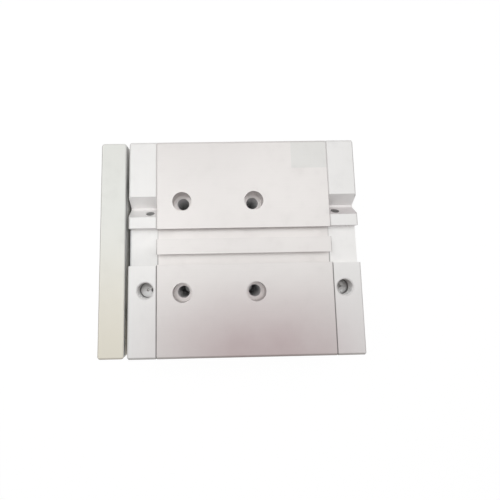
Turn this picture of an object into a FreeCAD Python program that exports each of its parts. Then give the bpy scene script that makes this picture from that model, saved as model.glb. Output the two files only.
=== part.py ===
import FreeCAD, Part
import math
import os

os.makedirs("parts", exist_ok=True)

# Guided pneumatic cylinder with two plain-bearing guide rods and adjustable end cushioning.
# X runs along the stroke and +X is the way the yoke plate moves out, Y runs across the width, Z is up.
# The origin is the centre of the four mounting holes, on the underside. All sizes are in millimetres,
# and the cylinder is drawn with its rods fully in.

# Body outline
body_width = 119.0
body_height = 54.0
body_edge_radius = 1.5
joint_chamfer = 0.4
cap_chamfer = 0.8
housing_length = 96.2
cap_length = 15.4
bore_wall = 7.0

# Mounting holes through the housing, counterbored on top and with centring recesses below
hole_pitch_x = 40.0
hole_pitch_y = 50.0
hole_setback = 14.0
hole_diameter = 6.8
counterbore_diameter = 10.6
counterbore_depth = 8.2
centring_diameter = 12.0
centring_depth = 2.6

# Sensor slots in the top of the housing, and the recess in each cap that lets a sensor slide in
slot_spacing = 14.0
slot_opening = 5.6
slot_width = 7.2
slot_depth = 4.6
slot_lip = 1.7
cap_recess_width = 20.6

# Notch across each cap that gives access to its cushioning screw
notch_centre = 22.15
notch_top_width = 11.5
notch_floor_width = 1.3
notch_depth = 6.4

# Drive
stroke = 50.0
end_play = 0.3
piston_length = 22.0
rod_diameter = 16.0
rod_pin_diameter = 12.0
front_spigot_length = 12.0

# End cushioning
cushion_diameter = 20.0
cushion_length = 15.5
cushion_nose = 2.0
chamber_gap = 2.0
chamber_overrun = 1.2
nut_thread_length = 11.6
nut_thread_run_out = 1.0
cushion_seal_wall = 4.0
cushion_seal_width = 3.0
cushion_seal_lip = 1.0

# Cushioning screw, square to the inner slope of the notch
screw_from_joint = 4.0
screw_diameter = 4.6
screw_recess = 2.2
screw_head_length = 6.6
screw_stem_diameter = 3.2
screw_stem_length = 6.0
screw_tip_length = 1.8
screw_tip_diameter = 1.0
screw_slot_width = 0.9
screw_slot_depth = 1.3
screw_ring_section = 1.2
screw_ring_groove = 1.5
screw_ring_depth = 3.3
screw_head_chamfer = 0.2
bypass_diameter = 2.0

# Supply ports: one in the top of each cap, and one in its side that a plug closes
port_from_joint = 6.0
port_y = 23.6
port_core_diameter = 8.57
port_mouth_diameter = 9.7
port_depth = 8.0
port_relief_diameter = 9.6
port_relief_width = 1.4
port_point_diameter = 1.8
port_point_depth = 2.2
side_port_rise = 14.2
channel_diameter = 2.4
channel_from_joint = 3.1
channel_overrun = 0.5
cross_channel_rise = 8.0
plug_recess = 0.6
plug_length = 6.0
plug_socket = 5.0
plug_socket_depth = 3.5

# Guides
guide_spacing = 84.0
guide_diameter = 20.0
guide_bush_wall = 1.5
guide_bush_length = 25.0
guide_bush_gap = 9.5
guide_passage_clearance = 0.5
guide_rear_recess = 1.0
rod_end_chamfer = 1.0

# Rings in the bearing cap
rod_seal_wall = 4.0
rod_seal_width = 4.3
rod_bush_wall = 2.0
guide_wiper_wall = 3.0
guide_wiper_width = 4.0
wiper_lip = 0.8

# Static seals: ring section, groove width and place
ring_section = 2.0
ring_groove_width = 2.6
ring_from_joint = 5.0

# Piston packing
piston_side_gap = 0.4
piston_lip = 1.6
piston_seal_width = 3.2
piston_seal_depth = 4.0
piston_seal_lip = 1.2
guide_ring_width = 9.0
guide_ring_depth = 1.6
magnet_width = 6.0
magnet_cover = 3.0
magnet_wall = 3.5
rod_ring_section = 1.5
rod_ring_groove = 1.8

# Yoke plate
yoke_thickness = 13.9
yoke_width = 118.0
yoke_height = 53.0
yoke_gap = 1.7
yoke_chamfer = 0.5
yoke_corner_radius = 1.5
yoke_pocket = 2.0
yoke_thread_diameter = 5.0
yoke_thread_rise = 17.0
yoke_inner_y = 20.0
yoke_outer_y = 50.0
yoke_centring_diameter = 9.0
yoke_centring_depth = 2.1

# Screws: thread, head diameter, head height, length under the head, socket across flats, socket depth
cap_screw = (5.0, 8.5, 5.0, 24.0, 4.0, 2.5)
guide_screw = (10.0, 16.0, 6.0, 25.0, 7.0, 3.5)
rod_screw = (8.0, 13.0, 5.0, 22.0, 5.0, 3.0)
cap_screw_y = 35.0
cap_screw_edge = 6.5
screw_hole_clearance = 0.25
head_hole_clearance = 0.5
head_recess = 0.6
thread_run_out = 2.0
socket_screw_chamfer = 0.4

# Clearances on the radius: a running fit, and a fixed seat
running_fit = 0.05
seat_fit = 0.03

# Places that follow from the sizes above
mid_z = body_height / 2
bore_diameter = body_height - 2 * bore_wall
chamber_diameter = cushion_diameter + 2 * chamber_gap
cushion_seal_diameter = cushion_diameter + 2 * cushion_seal_wall
magnet_outer_diameter = bore_diameter - 2 * magnet_cover
magnet_inner_diameter = magnet_outer_diameter - 2 * magnet_wall
cap_screw_rise = mid_z - cap_screw_edge
front_joint = hole_pitch_x / 2 + hole_setback
rear_joint = front_joint - housing_length
front_face = front_joint + cap_length
rear_face = rear_joint - cap_length
yoke_rear = front_face + yoke_gap
yoke_front = yoke_rear + yoke_thickness
rod_front = yoke_rear + yoke_pocket
guide_rear = rear_face + guide_rear_recess
rear_spigot_length = housing_length - stroke - 2 * end_play - piston_length - front_spigot_length
piston_rear = rear_joint + rear_spigot_length + end_play
piston_front = piston_rear + piston_length
piston_middle = (piston_rear + piston_front) / 2
rod_shoulder = piston_front + cushion_length
guide_ys = (-guide_spacing / 2, guide_spacing / 2)
guide_bush_radius = guide_diameter / 2 + guide_bush_wall
chamber_depth = screw_from_joint + chamber_overrun
pin_end = piston_rear - nut_thread_length
slot_ys = (-slot_spacing / 2, slot_spacing / 2)
FRONT = 1
REAR = -1

# Direction of the cushioning screw: out of the inner slope of the notch
slope_run = (notch_top_width - notch_floor_width) / 2
slope_length = math.hypot(slope_run, notch_depth)
screw_out = FreeCAD.Vector(0, -notch_depth / slope_length, slope_run / slope_length)
screw_mouth_y = -(notch_centre - notch_floor_width / 2 - slope_run / 2)
screw_mouth_z = body_height - notch_depth / 2


def along_x(x0, x1, y, z, radius):
    """Round bar between two X places."""
    start = FreeCAD.Vector(min(x0, x1), y, z)
    return Part.makeCylinder(radius, abs(x1 - x0), start, FreeCAD.Vector(1, 0, 0))


def tube_x(x0, x1, y, z, outer, inner):
    """Round tube between two X places."""
    return along_x(x0, x1, y, z, outer).cut(along_x(x0 - 1, x1 + 1, y, z, inner))


def turned(profile, y, z):
    """Ring or shaft turned about the X line through y, z from (x, radius) points."""
    points = [FreeCAD.Vector(x, y, z + r) for x, r in profile]
    face = Part.Face(Part.makePolygon(points + [points[0]]))
    return face.revolve(FreeCAD.Vector(0, y, z), FreeCAD.Vector(1, 0, 0), 360)


def prism_x(outline, x0, x1):
    """Straight prism along X from (y, z) points."""
    points = [FreeCAD.Vector(min(x0, x1), y, z) for y, z in outline]
    face = Part.Face(Part.makePolygon(points + [points[0]]))
    return face.extrude(FreeCAD.Vector(abs(x1 - x0), 0, 0))


def hexagon(across_flats, depth):
    """Hexagonal prism standing on the XY plane."""
    radius = across_flats / math.sqrt(3)
    corners = [FreeCAD.Vector(radius * math.cos(k * math.pi / 3), radius * math.sin(k * math.pi / 3), 0)
               for k in range(7)]
    return Part.Face(Part.makePolygon(corners)).extrude(FreeCAD.Vector(0, 0, depth))


def block_x(x0, x1, width, height, edge_radius, chamfers):
    """Block along X, centred on the cylinder axis, with rounded long edges and a chamfer for each end."""
    block = Part.makeBox(x1 - x0, width, height, FreeCAD.Vector(x0, -width / 2, mid_z - height / 2))
    long_edges = [e for e in block.Edges if abs(e.BoundBox.XLength - (x1 - x0)) < 0.001]
    block = block.makeFillet(edge_radius, long_edges)
    for x, chamfer in zip((x0, x1), chamfers):
        rim = [e for e in block.Edges if e.BoundBox.XLength < 0.001 and abs(e.BoundBox.XMin - x) < 0.001]
        block = block.makeChamfer(chamfer, rim)
    return block


def o_ring(x, y, z, outer_radius, section):
    """Round ring about the X line through y, z."""
    place = FreeCAD.Vector(x, y, z)
    return Part.makeTorus(outer_radius - section / 2, section / 2, place, FreeCAD.Vector(1, 0, 0))


def socket_screw(size, head_top, y, z, side):
    """Socket head screw whose head points to +X for side FRONT and to -X for side REAR."""
    thread, head_diameter, head_height, length, socket, socket_depth = size
    profile = [(0, 0), (0, head_diameter / 2 - socket_screw_chamfer),
               (-socket_screw_chamfer, head_diameter / 2), (-head_height, head_diameter / 2),
               (-head_height, thread / 2), (-head_height - length + socket_screw_chamfer, thread / 2),
               (-head_height - length, thread / 2 - socket_screw_chamfer), (-head_height - length, 0)]
    screw = turned(profile, 0, 0)
    recess = hexagon(socket, socket_depth)
    recess.rotate(FreeCAD.Vector(0, 0, 0), FreeCAD.Vector(0, 1, 0), -90)
    screw = screw.cut(recess)
    if side == REAR:
        screw.rotate(FreeCAD.Vector(0, 0, 0), FreeCAD.Vector(0, 0, 1), 180)
    screw.translate(FreeCAD.Vector(head_top, y, z))
    return screw


def sensor_slot(y):
    """T-shaped slot along the top of the housing."""
    top = body_height + 1
    lip = body_height - slot_lip
    floor = body_height - slot_depth
    outline = [(y - slot_opening / 2, top), (y - slot_opening / 2, lip), (y - slot_width / 2, lip),
               (y - slot_width / 2, floor), (y + slot_width / 2, floor), (y + slot_width / 2, lip),
               (y + slot_opening / 2, lip), (y + slot_opening / 2, top)]
    return prism_x(outline, rear_joint - 1, front_joint + 1)


def mounting_hole(x, y):
    """Through hole with its top counterbore and its centring recess underneath."""
    hole = Part.makeCylinder(hole_diameter / 2, body_height + 2, FreeCAD.Vector(x, y, -1))
    head = Part.makeCylinder(counterbore_diameter / 2, counterbore_depth + 1,
                             FreeCAD.Vector(x, y, body_height - counterbore_depth))
    centring = Part.makeCylinder(centring_diameter / 2, centring_depth + 1, FreeCAD.Vector(x, y, -1))
    return hole.fuse([head, centring])


def cap_screw_places():
    """Y and Z of the four screws that hold a cap."""
    return [(sy * cap_screw_y, mid_z + sz * cap_screw_rise) for sy in (-1, 1) for sz in (-1, 1)]


def cap_screw_seat(outer_face, side):
    """X of the face under the head of a cap screw."""
    return outer_face - side * (cap_screw[2] + head_recess)


def make_housing():
    """Extruded body with the cylinder bore, the guide bores, the sensor slots and the mounting holes."""
    body = block_x(rear_joint, front_joint, body_width, body_height, body_edge_radius,
                   (joint_chamfer, joint_chamfer))
    cuts = [sensor_slot(y) for y in slot_ys]
    cuts.append(along_x(rear_joint - 1, front_joint + 1, 0, mid_z, bore_diameter / 2))
    for y in guide_ys:
        cuts.append(along_x(rear_joint - 1, front_joint + 1, y, mid_z, guide_bush_radius + seat_fit))
    for sx in (-1, 1):
        for sy in (-1, 1):
            cuts.append(mounting_hole(sx * hole_pitch_x / 2, sy * hole_pitch_y / 2))
    for joint, face, side in ((front_joint, front_face, FRONT), (rear_joint, rear_face, REAR)):
        tip = cap_screw_seat(face, side) - side * (cap_screw[3] + thread_run_out)
        for y, z in cap_screw_places():
            cuts.append(along_x(joint + side, tip, y, z, cap_screw[0] / 2 + seat_fit))
    return body.cut(cuts)


def cap_notch(joint, side):
    """V-shaped notch across a cap, open at the top and at the cap's outer face."""
    floor = body_height - notch_depth
    reach = slope_run / notch_depth
    outline = [(-notch_centre - notch_top_width / 2 - reach, body_height + 1),
               (-notch_centre - notch_floor_width / 2, floor),
               (-notch_centre + notch_floor_width / 2, floor),
               (-notch_centre + notch_top_width / 2 + reach, body_height + 1)]
    return prism_x(outline, joint, joint + side * (cap_length + 1))


def screw_point(joint, side, depth):
    """Point on the cushioning screw's axis, at a depth below the slope of the notch."""
    mouth = FreeCAD.Vector(joint + side * screw_from_joint, screw_mouth_y, screw_mouth_z)
    return mouth - screw_out * depth


def screw_bar(joint, side, depth0, depth1, radius):
    """Round bar on the cushioning screw's axis between two depths."""
    return Part.makeCylinder(radius, depth1 - depth0, screw_point(joint, side, depth0), screw_out * -1)


def bypass_depth():
    """Depth at which the screw's axis passes under the ring groove of the spigot."""
    groove_floor = bore_diameter / 2 - seat_fit - ring_section
    radius = groove_floor - bypass_diameter
    closest = screw_mouth_y * screw_out.z - (screw_mouth_z - mid_z) * screw_out.y
    middle = screw_mouth_y * screw_out.y + (screw_mouth_z - mid_z) * screw_out.z
    return middle - math.sqrt(radius ** 2 - closest ** 2)


def screw_passage(joint, side, spigot_face):
    """Stepped hole for a cushioning screw, with the bypass that it throttles."""
    stem_start = screw_recess + screw_head_length
    stem_end = stem_start + screw_stem_length + screw_tip_length
    axis_depth = bypass_depth()
    meeting = screw_point(joint, side, axis_depth)
    return [screw_bar(joint, side, -2 * screw_diameter, stem_start, screw_diameter / 2 + running_fit),
            screw_bar(joint, side, 0, stem_end, screw_stem_diameter / 2 + running_fit),
            screw_bar(joint, side, 0, axis_depth + chamber_diameter / 4, bypass_diameter / 2),
            along_x(meeting.x, spigot_face - side, meeting.y, meeting.z, bypass_diameter / 2)]


def port_cut(place, outward):
    """Supply port from its mouth's centre: chamfered mouth, thread core, relief groove and drill point."""
    core = port_core_diameter / 2
    mouth = port_mouth_diameter / 2
    point = port_point_diameter / 2
    floor = place - outward * port_depth
    return [Part.makeCylinder(core, port_depth + 1, floor, outward),
            Part.makeCone(core, mouth, mouth - core, place - outward * (mouth - core), outward),
            Part.makeCylinder(port_relief_diameter / 2, port_relief_width, floor, outward),
            Part.makeCone(point, point / 2, port_point_depth, floor, outward * -1)]


def port_passages(joint, side):
    """Top port, side port and the channels that join them to the cushion chamber."""
    x = joint + side * port_from_joint
    channel_x = joint + side * channel_from_joint
    channel = channel_diameter / 2
    up = FreeCAD.Vector(0, 0, 1)
    out = FreeCAD.Vector(0, 1, 0)
    side_z = mid_z + side_port_rise
    cross_z = mid_z + cross_channel_rise
    top_floor = body_height - port_depth
    side_floor = body_width / 2 - port_depth
    past = channel + channel_overrun
    chamber_side = chamber_diameter / 2 - channel_diameter
    cuts = port_cut(FreeCAD.Vector(x, port_y, body_height), up)
    cuts += port_cut(FreeCAD.Vector(x, body_width / 2, side_z), out)
    cuts.append(Part.makeCylinder(channel, side_floor - port_y + past + channel,
                                  FreeCAD.Vector(channel_x, port_y - past, side_z), out))
    cuts.append(Part.makeCylinder(channel, top_floor - cross_z + past + channel,
                                  FreeCAD.Vector(channel_x, port_y, cross_z - past), up))
    cuts.append(Part.makeCylinder(channel, port_y + past - chamber_side,
                                  FreeCAD.Vector(channel_x, chamber_side, cross_z), out))
    return cuts


def cap_blank(joint, side, spigot_length):
    """Everything that the two caps have in common."""
    outer = joint + side * cap_length
    spigot_face = joint - side * spigot_length
    x0, x1 = min(joint, outer), max(joint, outer)
    spigot_radius = bore_diameter / 2 - seat_fit
    chamfers = (joint_chamfer, cap_chamfer) if side == FRONT else (cap_chamfer, joint_chamfer)
    body = block_x(x0, x1, body_width, body_height, body_edge_radius, chamfers)
    body = body.fuse(along_x(spigot_face, joint + side, 0, mid_z, spigot_radius))
    recess = Part.makeBox(cap_length + 2, cap_recess_width, slot_depth + 1,
                          FreeCAD.Vector(x0 - 1, -cap_recess_width / 2, body_height - slot_depth))
    ring_x = joint - side * ring_from_joint
    groove = tube_x(ring_x - ring_groove_width / 2, ring_x + ring_groove_width / 2, 0, mid_z,
                    spigot_radius + 1, spigot_radius - ring_section)
    seal_x = spigot_face + side * cushion_seal_lip
    cuts = [recess, cap_notch(joint, side), groove,
            along_x(spigot_face - side, joint + side * chamber_depth, 0, mid_z, chamber_diameter / 2),
            along_x(seal_x, seal_x + side * cushion_seal_width, 0, mid_z, cushion_seal_diameter / 2)]
    cuts += screw_passage(joint, side, spigot_face)
    cuts += port_passages(joint, side)
    seat = cap_screw_seat(outer, side)
    for y, z in cap_screw_places():
        cuts.append(along_x(outer + side, seat, y, z, cap_screw[1] / 2 + head_hole_clearance))
        cuts.append(along_x(outer, joint - side, y, z, cap_screw[0] / 2 + screw_hole_clearance))
    for y in guide_ys:
        radius = guide_diameter / 2 + guide_passage_clearance
        cuts.append(along_x(joint - side, outer + side, y, mid_z, radius))
    return body.cut(cuts)


def make_bearing_cap():
    """Front cap, which holds the rod bush, the rod seal and the guide wipers."""
    cap = cap_blank(front_joint, FRONT, front_spigot_length)
    bush_radius = rod_diameter / 2 + rod_bush_wall + seat_fit
    seal_radius = rod_diameter / 2 + rod_seal_wall + seat_fit
    wiper_radius = guide_diameter / 2 + guide_wiper_wall + seat_fit
    cuts = [along_x(front_joint, front_face + 1, 0, mid_z, bush_radius),
            along_x(front_face - rod_seal_width, front_face + 1, 0, mid_z, seal_radius)]
    for y in guide_ys:
        cuts.append(along_x(front_face - guide_wiper_width, front_face + 1, y, mid_z, wiper_radius))
    return cap.cut(cuts)


def make_end_cap():
    """Rear cap, whose guide passages let the rods' ends show and breathe."""
    return cap_blank(rear_joint, REAR, rear_spigot_length)


def make_rod_bush():
    """Plain bush that carries the piston rod in the bearing cap."""
    inner = rod_diameter / 2 + running_fit
    return tube_x(front_joint + chamber_depth, front_face - rod_seal_width, 0, mid_z,
                  rod_diameter / 2 + rod_bush_wall, inner)


def wiper(width, wall, shaft_diameter, y):
    """Sealing ring set in the front face, with a lip towards its shaft on the outer side."""
    inner = shaft_diameter / 2 + running_fit
    outer = shaft_diameter / 2 + wall
    rear = front_face - width
    profile = [(rear, inner), (rear, outer), (front_face, outer), (front_face, inner + 2 * wiper_lip),
               (front_face - wiper_lip, inner + wiper_lip), (front_face, inner + wiper_lip / 4),
               (front_face, inner)]
    return turned(profile, y, mid_z)


def make_guide_bush(y, front):
    """Thin-walled plain bush in the housing's guide bore, given its front end."""
    return tube_x(front - guide_bush_length, front, y, mid_z, guide_bush_radius,
                  guide_diameter / 2 + running_fit)


def make_cap_ring(joint, side):
    """Ring that seals a cap's spigot in the cylinder bore."""
    outer = bore_diameter / 2 - seat_fit
    return o_ring(joint - side * ring_from_joint, 0, mid_z, outer, ring_section - seat_fit)


def make_cushion_seal(joint, side, spigot_length):
    """Seal around the cushion chamber's mouth, with a sloped lip on the side of the chamber."""
    start = joint - side * (spigot_length - cushion_seal_lip)
    end = start + side * cushion_seal_width
    outer = cushion_seal_diameter / 2 - seat_fit
    inner = cushion_diameter / 2 + running_fit
    heel = (inner + outer) / 2
    slope_end = (start + end) / 2
    profile = [(start, heel), (start, outer), (end, outer), (end, inner), (slope_end, inner)]
    return turned(profile, 0, mid_z)


def make_cushion_screw(joint, side):
    """Slotted needle screw with a ring groove below its head and a tapered tip."""
    head = screw_diameter / 2
    stem = screw_stem_diameter / 2
    ring_top = screw_ring_depth
    ring_bottom = ring_top + screw_ring_groove
    tip_start = screw_head_length + screw_stem_length
    groove = head - screw_ring_section
    profile = [(0, 0), (0, head - screw_head_chamfer), (screw_head_chamfer, head), (ring_top, head),
               (ring_top, groove), (ring_bottom, groove), (ring_bottom, head), (screw_head_length, head),
               (screw_head_length, stem), (tip_start, stem),
               (tip_start + screw_tip_length, screw_tip_diameter / 2), (tip_start + screw_tip_length, 0)]
    points = [FreeCAD.Vector(r, 0, -depth) for depth, r in profile]
    face = Part.Face(Part.makePolygon(points + [points[0]]))
    screw = face.revolve(FreeCAD.Vector(0, 0, 0), FreeCAD.Vector(0, 0, 1), 360)
    slot = Part.makeBox(screw_diameter + 1, screw_slot_width, screw_slot_depth + 1,
                        FreeCAD.Vector(-screw_diameter / 2 - 0.5, -screw_slot_width / 2, -screw_slot_depth))
    screw = screw.cut(slot)
    return lay_on_screw_axis(screw, joint, side)


def make_cushion_screw_ring(joint, side):
    """Ring in the groove of a cushioning screw."""
    depth = screw_ring_depth + screw_ring_groove / 2
    outer = screw_diameter / 2
    ring = Part.makeTorus(outer - screw_ring_section / 2 + seat_fit, screw_ring_section / 2 - seat_fit,
                          FreeCAD.Vector(0, 0, -depth), FreeCAD.Vector(0, 0, 1))
    return lay_on_screw_axis(ring, joint, side)


def lay_on_screw_axis(shape, joint, side):
    """Turn a shape whose head looks up to the screw's axis and drop it into its recess."""
    tilt = math.degrees(math.atan2(notch_depth, slope_run))
    shape.rotate(FreeCAD.Vector(0, 0, 0), FreeCAD.Vector(1, 0, 0), tilt)
    shape.translate(screw_point(joint, side, screw_recess))
    return shape


def make_port_plug(joint, side):
    """Threaded plug with a hexagonal socket that closes a side port."""
    radius = port_core_diameter / 2 - seat_fit
    plug = Part.makeCylinder(radius, plug_length, FreeCAD.Vector(0, 0, -plug_length))
    plug = plug.makeChamfer(socket_screw_chamfer, [e for e in plug.Edges if e.Length > radius * 6])
    socket = hexagon(plug_socket, plug_socket_depth + 1)
    socket.translate(FreeCAD.Vector(0, 0, -plug_socket_depth))
    plug = plug.cut(socket)
    plug.rotate(FreeCAD.Vector(0, 0, 0), FreeCAD.Vector(1, 0, 0), -90)
    plug.translate(FreeCAD.Vector(joint + side * port_from_joint, body_width / 2 - plug_recess,
                                  mid_z + side_port_rise))
    return plug


def make_cap_screws(face, side):
    """The four screws that hold one cap to the housing."""
    head_top = cap_screw_seat(face, side) + side * cap_screw[2]
    return Part.makeCompound([socket_screw(cap_screw, head_top, y, z, side) for y, z in cap_screw_places()])


def make_piston_rod():
    """Piston rod with a reduced end through the piston and a tapped front end."""
    pin = rod_pin_diameter / 2
    radius = rod_diameter / 2
    profile = [(pin_end, 0), (pin_end, pin - rod_end_chamfer), (pin_end + rod_end_chamfer, pin),
               (rod_shoulder, pin), (rod_shoulder, radius), (rod_front, radius), (rod_front, 0)]
    rod = turned(profile, 0, mid_z)
    depth = yoke_front - head_recess - rod_screw[2] - rod_screw[3] - thread_run_out
    return rod.cut(along_x(depth, rod_front + 1, 0, mid_z, rod_screw[0] / 2 + seat_fit))


def make_guide_rod(y):
    """Ground guide rod, tapped at its front end."""
    radius = guide_diameter / 2
    profile = [(guide_rear, 0), (guide_rear, radius - rod_end_chamfer),
               (guide_rear + rod_end_chamfer, radius), (rod_front, radius), (rod_front, 0)]
    rod = turned(profile, y, mid_z)
    depth = yoke_front - head_recess - guide_screw[2] - guide_screw[3] - thread_run_out
    return rod.cut(along_x(depth, rod_front + 1, y, mid_z, guide_screw[0] / 2 + seat_fit))


def make_piston_half(side):
    """Half of the piston, with a seal groove, half of the guide ring's seat and of the magnet's pocket."""
    outer = bore_diameter / 2 - piston_side_gap
    face = piston_middle + side * piston_length / 2
    bore = rod_pin_diameter / 2 + seat_fit
    groove = outer + piston_side_gap - piston_seal_depth
    lip = face - side * piston_lip
    groove_end = lip - side * piston_seal_width
    seat = piston_middle + side * guide_ring_width / 2
    profile = [(piston_middle, bore), (piston_middle, bore_diameter / 2 - guide_ring_depth - seat_fit),
               (seat, bore_diameter / 2 - guide_ring_depth - seat_fit), (seat, outer), (groove_end, outer),
               (groove_end, groove), (lip, groove), (lip, outer), (face, outer), (face, bore)]
    half = turned(profile, 0, mid_z)
    pocket = tube_x(piston_middle - magnet_width / 2, piston_middle + magnet_width / 2, 0, mid_z,
                    magnet_outer_diameter / 2 + seat_fit, magnet_inner_diameter / 2 - seat_fit)
    half = half.cut(pocket)
    if side == FRONT:
        half = half.cut(along_x(face, face - rod_ring_groove, 0, mid_z, bore + rod_ring_section))
    return half


def make_piston_seal(side):
    """Lip seal in a piston groove, with its lip towards the pressure side."""
    face = piston_middle + side * piston_length / 2
    lip_side = face - side * piston_lip
    heel_side = lip_side - side * piston_seal_width
    inner = bore_diameter / 2 - piston_seal_depth + seat_fit
    outer = bore_diameter / 2 - running_fit
    body = bore_diameter / 2 - piston_side_gap
    notch = (inner + outer) / 2
    profile = [(heel_side, inner), (heel_side, body), (lip_side - side * piston_seal_lip, outer),
               (lip_side, outer), (lip_side - side * piston_seal_lip, notch), (lip_side, inner)]
    return turned(profile, 0, mid_z)


def make_piston_guide_ring():
    """Slide ring around the middle of the piston."""
    half_width = guide_ring_width / 2 - seat_fit
    return tube_x(piston_middle - half_width, piston_middle + half_width, 0, mid_z,
                  bore_diameter / 2 - running_fit, bore_diameter / 2 - guide_ring_depth)


def make_piston_magnet():
    """Ring magnet between the piston halves, which the sensors in the slots read."""
    return tube_x(piston_middle - magnet_width / 2, piston_middle + magnet_width / 2, 0, mid_z,
                  magnet_outer_diameter / 2, magnet_inner_diameter / 2)


def make_rod_ring():
    """Ring that seals the rod's pin in the front half of the piston."""
    outer = rod_pin_diameter / 2 + rod_ring_section
    return o_ring(piston_front - rod_ring_groove / 2, 0, mid_z, outer, rod_ring_section - seat_fit)


def make_cushion_sleeve():
    """Front cushion sleeve, clamped between the rod's shoulder and the piston."""
    outer = cushion_diameter / 2
    bore = rod_pin_diameter / 2 + seat_fit
    profile = [(piston_front, bore), (piston_front, outer), (rod_shoulder - cushion_nose, outer),
               (rod_shoulder, rod_diameter / 2), (rod_shoulder, bore)]
    return turned(profile, 0, mid_z)


def make_cushion_nut():
    """Rear cushion spear, which is also the nut on the rod's pin."""
    outer = cushion_diameter / 2
    bore = rod_pin_diameter / 2 + seat_fit
    end = piston_rear - cushion_length
    thread_end = pin_end - nut_thread_run_out
    profile = [(piston_rear, bore), (piston_rear, outer), (end + cushion_nose, outer),
               (end, outer - cushion_nose), (end, 0), (thread_end, 0), (thread_end, bore)]
    return turned(profile, 0, mid_z)


def yoke_thread_places(y):
    """Y and Z of one rectangle of four threaded holes in the yoke plate."""
    return [(sy * y, mid_z + sz * yoke_thread_rise) for sy in (-1, 1) for sz in (-1, 1)]


def make_yoke_plate():
    """Yoke plate that joins the piston rod and the guide rods and carries the load."""
    plate = Part.makeBox(yoke_thickness, yoke_width, yoke_height,
                         FreeCAD.Vector(yoke_rear, -yoke_width / 2, mid_z - yoke_height / 2))
    corners = [e for e in plate.Edges if abs(e.BoundBox.ZLength - yoke_height) < 0.001]
    plate = plate.makeFillet(yoke_corner_radius, corners)
    plate = plate.makeChamfer(yoke_chamfer, [e for e in plate.Edges if e.BoundBox.ZLength < 0.001])
    cuts = []
    seats = [(0.0, rod_diameter, rod_screw)] + [(y, guide_diameter, guide_screw) for y in guide_ys]
    for y, shaft, screw in seats:
        seat = yoke_front - head_recess - screw[2]
        cuts.append(along_x(yoke_rear - 1, rod_front, y, mid_z, shaft / 2 + seat_fit))
        cuts.append(along_x(yoke_rear, yoke_front, y, mid_z, screw[0] / 2 + screw_hole_clearance))
        cuts.append(along_x(seat, yoke_front + 1, y, mid_z, screw[1] / 2 + head_hole_clearance))
    for y, z in yoke_thread_places(yoke_inner_y) + yoke_thread_places(yoke_outer_y):
        cuts.append(along_x(yoke_rear - 1, yoke_front + 1, y, z, yoke_thread_diameter / 2))
    recess = yoke_front - yoke_centring_depth
    for y, z in yoke_thread_places(yoke_inner_y):
        cuts.append(along_x(recess, yoke_front + 1, y, z, yoke_centring_diameter / 2))
    return plate.cut(cuts)


def yoke_screw(size, y):
    """Screw through the yoke plate into the end of a rod."""
    return socket_screw(size, yoke_front - head_recess, y, mid_z, FRONT)


nodes = {
    "housing": make_housing(),
    "bearing_cap": make_bearing_cap(),
    "end_cap": make_end_cap(),
    "rod_bush": make_rod_bush(),
    "rod_seal": wiper(rod_seal_width, rod_seal_wall, rod_diameter, 0),
    "cap_ring_front": make_cap_ring(front_joint, FRONT),
    "cap_ring_rear": make_cap_ring(rear_joint, REAR),
    "cushion_seal_front": make_cushion_seal(front_joint, FRONT, front_spigot_length),
    "cushion_seal_rear": make_cushion_seal(rear_joint, REAR, rear_spigot_length),
    "bearing_cap_screws": make_cap_screws(front_face, FRONT),
    "end_cap_screws": make_cap_screws(rear_face, REAR),
    "piston_rod": make_piston_rod(),
    "piston_front_half": make_piston_half(FRONT),
    "piston_rear_half": make_piston_half(REAR),
    "piston_seal_front": make_piston_seal(FRONT),
    "piston_seal_rear": make_piston_seal(REAR),
    "piston_guide_ring": make_piston_guide_ring(),
    "piston_magnet": make_piston_magnet(),
    "piston_rod_ring": make_rod_ring(),
    "cushion_sleeve": make_cushion_sleeve(),
    "cushion_nut": make_cushion_nut(),
    "yoke_plate": make_yoke_plate(),
    "piston_rod_screw": yoke_screw(rod_screw, 0),
    "guide_rod_screws": Part.makeCompound([yoke_screw(guide_screw, y) for y in guide_ys]),
}
for end, joint, side in (("front", front_joint, FRONT), ("rear", rear_joint, REAR)):
    nodes["cushion_screw_" + end] = make_cushion_screw(joint, side)
    nodes["cushion_screw_ring_" + end] = make_cushion_screw_ring(joint, side)
    nodes["port_plug_" + end] = make_port_plug(joint, side)
for hand, y in zip(("left", "right"), reversed(guide_ys)):
    nodes["guide_rod_" + hand] = make_guide_rod(y)
    nodes["guide_wiper_" + hand] = wiper(guide_wiper_width, guide_wiper_wall, guide_diameter, y)
    nodes["guide_bush_front_" + hand] = make_guide_bush(y, front_joint)
    nodes["guide_bush_rear_" + hand] = make_guide_bush(y, front_joint - guide_bush_length - guide_bush_gap)

for name, shape in nodes.items():
    shape.exportStep("parts/" + name + ".step")
    state = "valid" if shape.isValid() else "not valid"
    print(name, len(shape.Solids), "solids", round(shape.Volume, 1), "mm3", state)
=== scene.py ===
import math

import bmesh
import bpy
from mathutils import Matrix, Vector


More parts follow.
